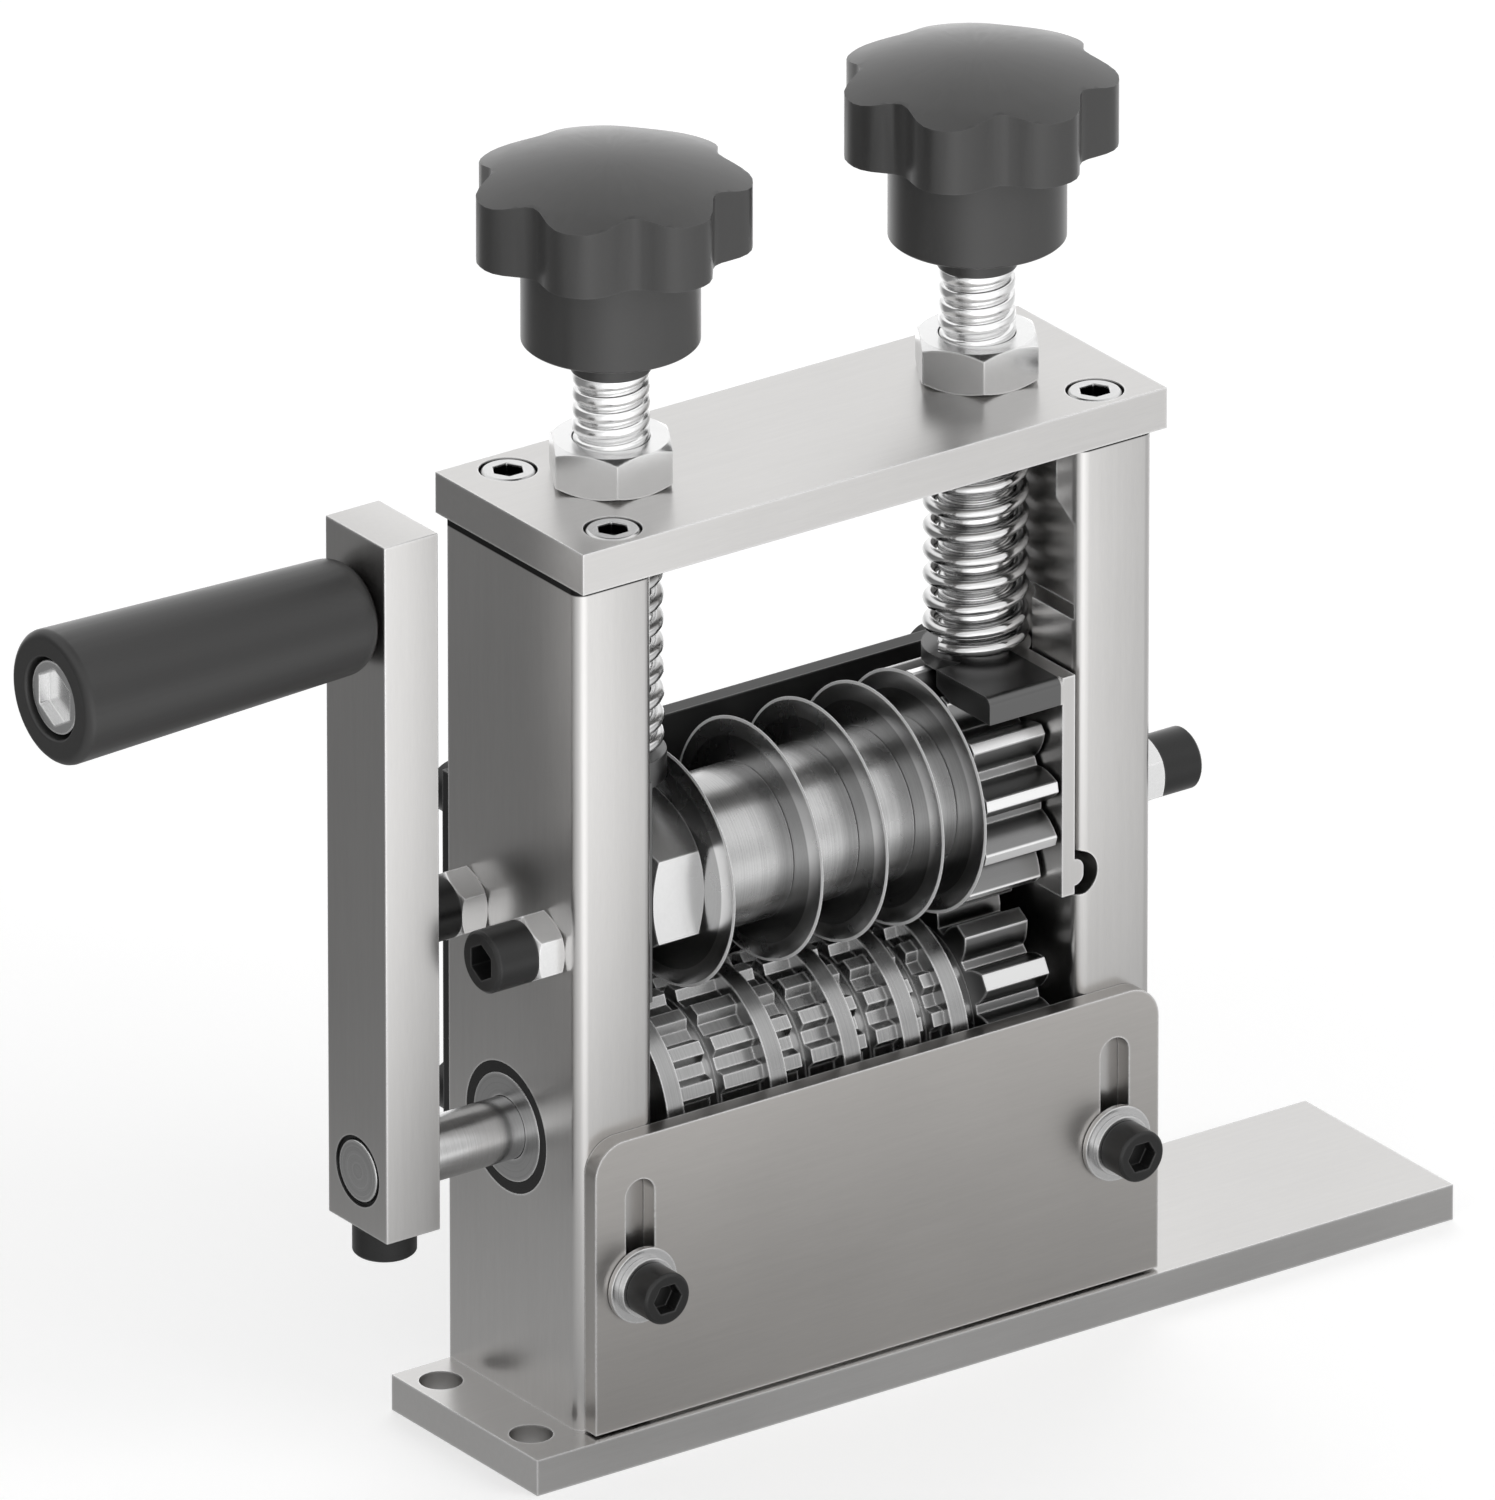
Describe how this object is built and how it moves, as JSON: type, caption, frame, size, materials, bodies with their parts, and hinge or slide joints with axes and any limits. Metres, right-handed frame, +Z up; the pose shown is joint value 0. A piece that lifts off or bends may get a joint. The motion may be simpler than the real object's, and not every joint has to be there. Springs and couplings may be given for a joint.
{
  "type": "hand crank wire stripper",
  "caption": "Bench wire stripper: a crank turns a toothed feed roller geared to a stack of disc blades, which sprung knobs raise and lower in an open frame.",
  "frame": {"origin": "on the underside of the base plate, midway between the side plates and straight below the drive shaft", "axes": "+X along the shafts, away from the crank; +Y to the back; +Z up"},
  "size_m": [0.2483, 0.0575, 0.2081],
  "materials": {
    "frame_steel": "brushed",
    "cover_steel": "brushed",
    "arm_steel": "brushed",
    "guide_steel": "dark brushed",
    "bracket_steel": "dark milled, with bright edges",
    "gear_steel": "machined, with bright lands",
    "roller_steel": "machined",
    "shaft_steel": "turned",
    "bush_steel": "turned",
    "spacer_steel": "polished",
    "blade_steel": "polished, with a ground bevel",
    "nut_zinc": "zinc plated",
    "washer_zinc": "zinc plated",
    "rod_zinc": "zinc plated thread",
    "spring_steel": "bright wire",
    "clip_steel": "dark spring steel",
    "black_oxide": "black oxide",
    "black_plastic": "satin black",
    "seal_rubber": "matt"
  },
  "bodies": {
    "frame": {"base_plate": "frame_steel", "left_side_plate": "frame_steel", "right_side_plate": "frame_steel", "top_plate": "frame_steel", "top_screws": "black_oxide", "base_screws": "black_oxide", "rod_nuts": "nut_zinc", "gib_screws": "black_oxide", "gib_nuts": "nut_zinc", "guide_plate": "guide_steel", "guide_spacers": "nut_zinc", "guide_screws": "black_oxide", "shaft_bushes": "bush_steel", "seal_rings": "seal_rubber", "cover_screws": "black_oxide", "cover_washers": "washer_zinc", "lock_washers": "washer_zinc", "left_spring": "spring_steel", "right_spring": "spring_steel"},
    "front_cover": {"front_cover": "cover_steel"},
    "drive": {"drive_shaft": "shaft_steel", "feed_roller": "roller_steel", "drive_gear": "gear_steel", "shaft_collar": "black_oxide", "collar_screw": "black_oxide", "crank_arm": "arm_steel", "crank_screw": "black_oxide", "grip_bolt": "nut_zinc"},
    "crank_grip": {"crank_grip": "black_plastic"},
    "carriage": {"left_bracket": "bracket_steel", "right_bracket": "bracket_steel"},
    "blade_spindle": {"blade_spindle": "shaft_steel", "blades": "blade_steel", "spacers": "spacer_steel", "spindle_nut": "nut_zinc", "spindle_gear": "gear_steel"},
    "left_knob": {"left_rod": "rod_zinc", "left_knob": "black_plastic", "left_clip": "clip_steel"},
    "right_knob": {"right_rod": "rod_zinc", "right_knob": "black_plastic", "right_clip": "clip_steel"}
  },
  "joints": [
    {"name": "cover_slide", "type": "slide", "parent": "frame", "child": "front_cover", "axis": [0, 0, 1], "range_m": [0, 0.002]},
    {"name": "crank_turn", "type": "hinge", "parent": "frame", "child": "drive", "pos_m": [0, 0, 0.0506], "axis": [1, 0, 0], "continuous": true},
    {"name": "grip_turn", "type": "hinge", "parent": "drive", "child": "crank_grip", "pos_m": [-0.11, 0, 0.1443], "axis": [1, 0, 0], "continuous": true},
    {"name": "carriage_lift", "type": "slide", "parent": "frame", "child": "carriage", "axis": [0, 0, 1], "range_m": [-0.0015, 0.0005], "deforming": ["left_spring", "right_spring"]},
    {"name": "blade_turn", "type": "hinge", "parent": "carriage", "child": "blade_spindle", "pos_m": [0, 0, 0.0872], "axis": [1, 0, 0], "continuous": true},
    {"name": "left_knob_turn", "type": "hinge", "parent": "carriage", "child": "left_knob", "pos_m": [-0.0345, 0, 0.19], "axis": [0, 0, 1], "range_deg": [-200, 66.67]},
    {"name": "right_knob_turn", "type": "hinge", "parent": "carriage", "child": "right_knob", "pos_m": [0.0345, 0, 0.19], "axis": [0, 0, 1], "range_deg": [-200, 66.67]}
  ],
  "couplings": [
    {"joint": "blade_turn", "follows": "crank_turn", "ratio": -1},
    {"joint": "left_knob_turn", "follows": "carriage_lift", "rad_per_m": 2327.1},
    {"joint": "right_knob_turn", "follows": "carriage_lift", "rad_per_m": 2327.1}
  ]
}
